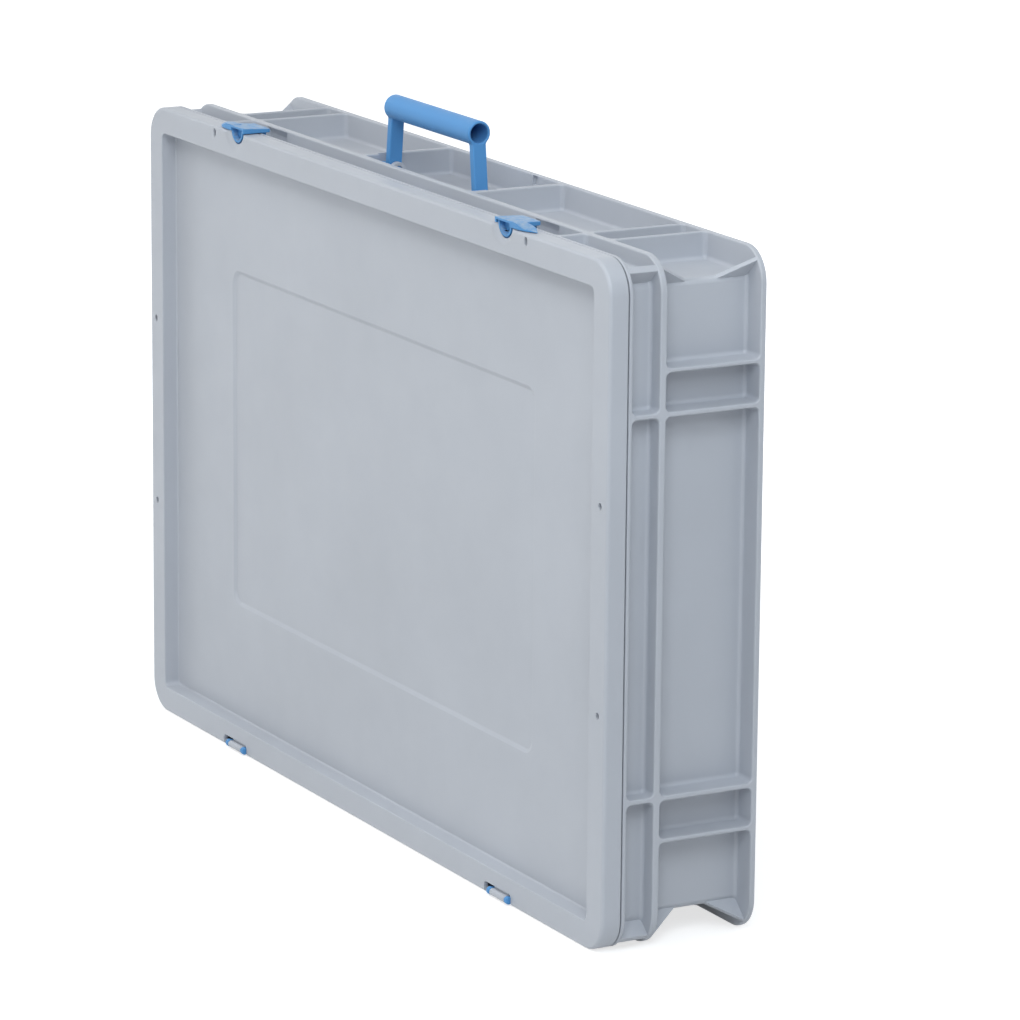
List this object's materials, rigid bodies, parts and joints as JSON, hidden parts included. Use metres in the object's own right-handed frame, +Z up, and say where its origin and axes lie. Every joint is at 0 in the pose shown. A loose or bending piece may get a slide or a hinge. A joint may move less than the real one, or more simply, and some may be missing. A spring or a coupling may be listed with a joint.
{
  "type": "lidded carrying case",
  "caption": "Shallow ribbed plastic container with a hinged lid, snap latches on the lid's edge and a folding carry handle, made to stand on its hinge edge or to stack flat.",
  "frame": {"origin": "on the floor under the middle of the case as it stands on its hinge edge", "axes": "+X along the long side, to the right when facing the lid; +Y from the lid back to the base; +Z up, towards the handle"},
  "size_m": [0.6, 0.1124, 0.4385],
  "materials": {
    "grey_plastic": "fine moulded satin",
    "blue_plastic": "smooth moulded satin"
  },
  "bodies": {
    "tub": {"tub": "grey_plastic", "hinge_clip_left": "blue_plastic", "hinge_clip_right": "blue_plastic"},
    "lid": {"lid": "grey_plastic"},
    "latch_left": {"latch_left": "blue_plastic"},
    "latch_right": {"latch_right": "blue_plastic"},
    "handle": {"handle": "blue_plastic"}
  },
  "joints": [
    {"name": "lid_hinge", "type": "hinge", "parent": "tub", "child": "lid", "pos_m": [0, -0.05305, 0.0032], "axis": [1, 0, 0], "range_deg": [0, 90]},
    {"name": "latch_left_pivot", "type": "hinge", "parent": "lid", "child": "latch_left", "pos_m": [-0.1748, -0.04855, 0.3912], "axis": [1, 0, 0], "range_deg": [0, 22]},
    {"name": "latch_right_pivot", "type": "hinge", "parent": "lid", "child": "latch_right", "pos_m": [0.1748, -0.04855, 0.3912], "axis": [1, 0, 0], "range_deg": [0, 22]},
    {"name": "handle_pivot", "type": "hinge", "parent": "tub", "child": "handle", "pos_m": [0, -0.00255, 0.3925], "axis": [1, 0, 0], "range_deg": [-90, 0]}
  ]
}
